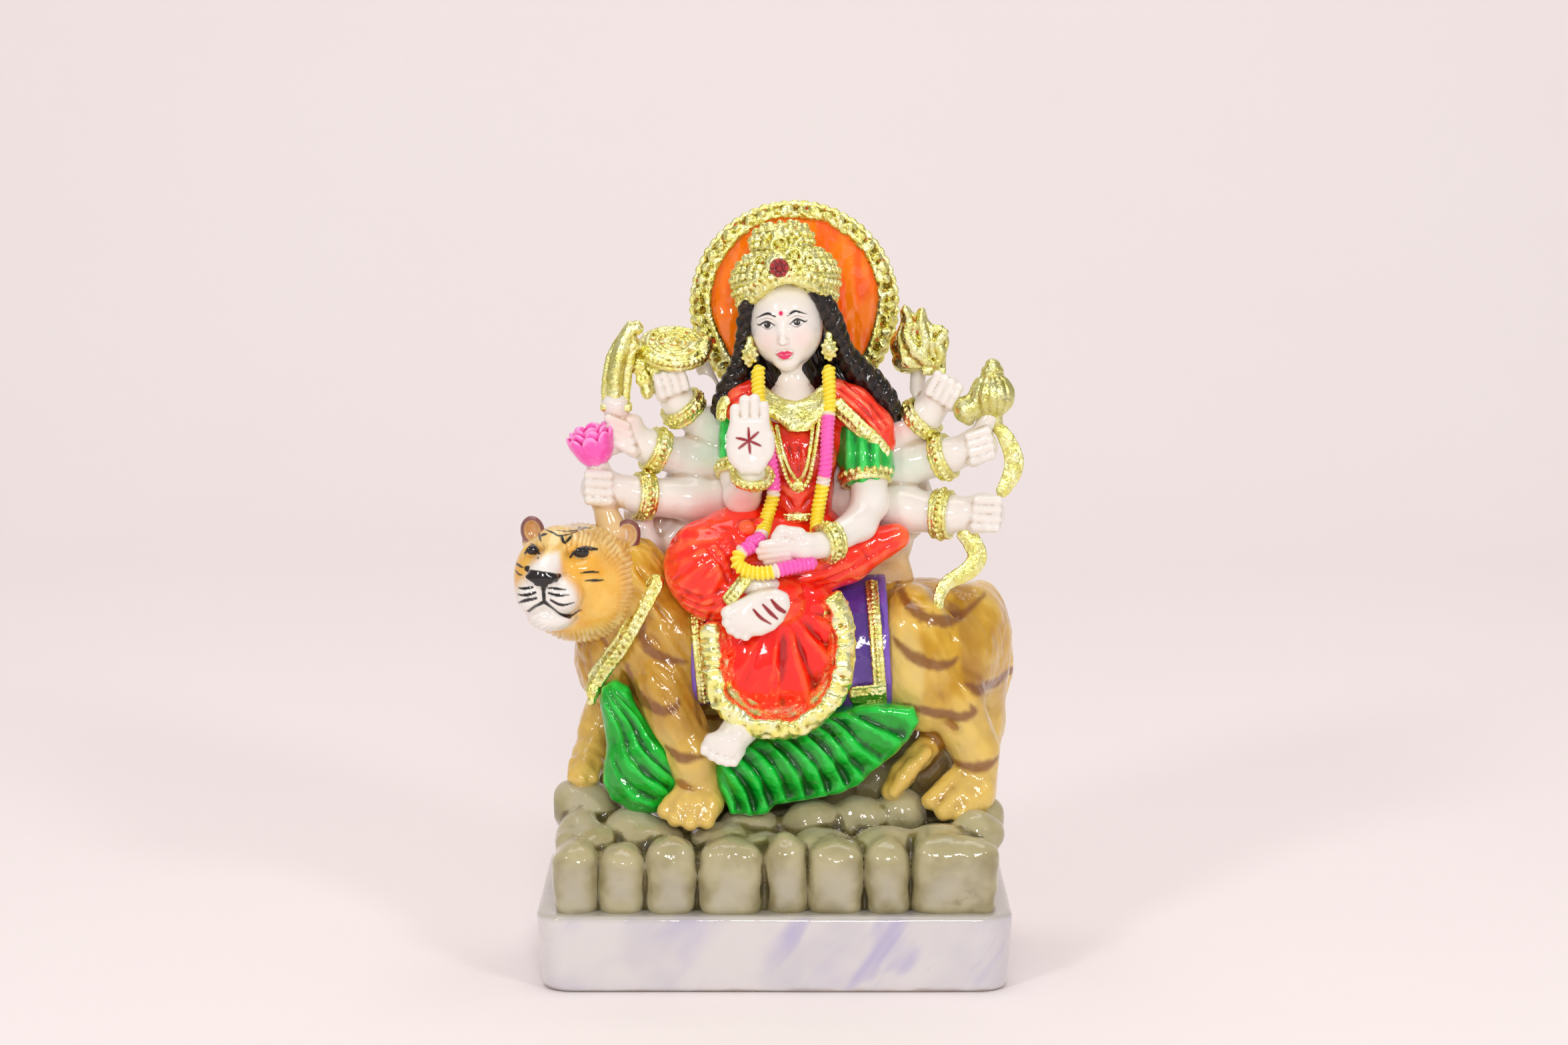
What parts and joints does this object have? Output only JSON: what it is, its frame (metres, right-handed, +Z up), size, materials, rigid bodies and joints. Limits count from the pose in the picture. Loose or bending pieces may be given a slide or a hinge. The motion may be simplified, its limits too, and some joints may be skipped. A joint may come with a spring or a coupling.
{
  "type": "deity statuette",
  "caption": "Painted cast statuette of a seated goddess with fanned arms and a round halo, riding a standing tiger on a stone-edged marble slab.",
  "frame": {"origin": "centre of the slab's resting face", "axes": "+Z up, -Y the way the figure faces, +X towards the tiger's rump"},
  "size_m": [0.0973, 0.0578, 0.1505],
  "materials": {
    "marble": "milky white cast marble with lilac veins, lacquered",
    "glazed_rock": "off-white stone glazed khaki green, pooled dark in the joints, high gloss",
    "tiger_coat": "honey ochre paint with brown stripes over combed fur, lacquered",
    "tiger_face": "yellow cream with a white muzzle and fine black strokes, lacquered",
    "skin_white": "pearly white cast marble, lacquered",
    "red_paint": "bright red paint, thick gloss lacquer",
    "green_paint": "bright green paint, darker in the grooves, gloss lacquer",
    "purple_paint": "violet paint, gloss lacquer",
    "gold_foil": "crinkled lemon-gold foil paint",
    "orange_paint": "bright orange paint with redder strokes, gloss lacquer",
    "hair_black": "black paint, gloss lacquer",
    "gem_red": "deep red paint, gloss lacquer",
    "lotus_pink": "bright pink paint, gloss lacquer",
    "garland_paint": "yellow and pink runs of paint, gloss lacquer"
  },
  "bodies": {
    "root": {"base_slab": "marble", "rock_bed": "glazed_rock", "front_stones": "glazed_rock", "back_stones": "glazed_rock", "side_stones": "glazed_rock", "boulders": "glazed_rock", "near_foreleg": "tiger_coat", "far_foreleg": "tiger_coat", "near_hind_leg": "tiger_coat", "far_hind_leg": "tiger_coat", "far_hind_foot": "tiger_coat", "tiger_body": "tiger_coat", "tiger_tail": "tiger_coat", "tiger_head": "tiger_face", "tiger_ears": "tiger_face", "blessing_arm": "skin_white", "resting_arm": "skin_white", "head_and_neck": "skin_white", "folded_foot": "skin_white", "lower_foot": "skin_white", "rear_arm_left_upper": "skin_white", "rear_arm_left_middle": "skin_white", "rear_arm_left_lower": "skin_white", "rear_arm_right_upper": "skin_white", "rear_arm_right_middle": "skin_white", "rear_arm_right_lower": "skin_white", "arm_web": "skin_white", "blouse": "red_paint", "skirt": "red_paint", "skirt_pleats": "red_paint", "shawl": "red_paint", "sleeves": "green_paint", "green_leaf": "green_paint", "green_sheaf": "green_paint", "saddle_cloth": "purple_paint", "tiger_collar": "gold_foil", "saddle_trim": "gold_foil", "skirt_hem": "gold_foil", "crown": "gold_foil", "halo_rim": "gold_foil", "earrings": "gold_foil", "sword": "gold_foil", "chakra": "gold_foil", "mace": "gold_foil", "trident": "gold_foil", "bow": "gold_foil", "armlets": "gold_foil", "bangles": "gold_foil", "shawl_trim": "gold_foil", "neck_collar": "gold_foil", "necklace": "gold_foil", "belt_buckle": "gold_foil", "anklets": "gold_foil", "halo_disc": "orange_paint", "hair_locks": "hair_black", "back_hair": "hair_black", "crown_gem": "gem_red", "lotus": "lotus_pink", "garland": "garland_paint"}
  },
  "joints": []
}
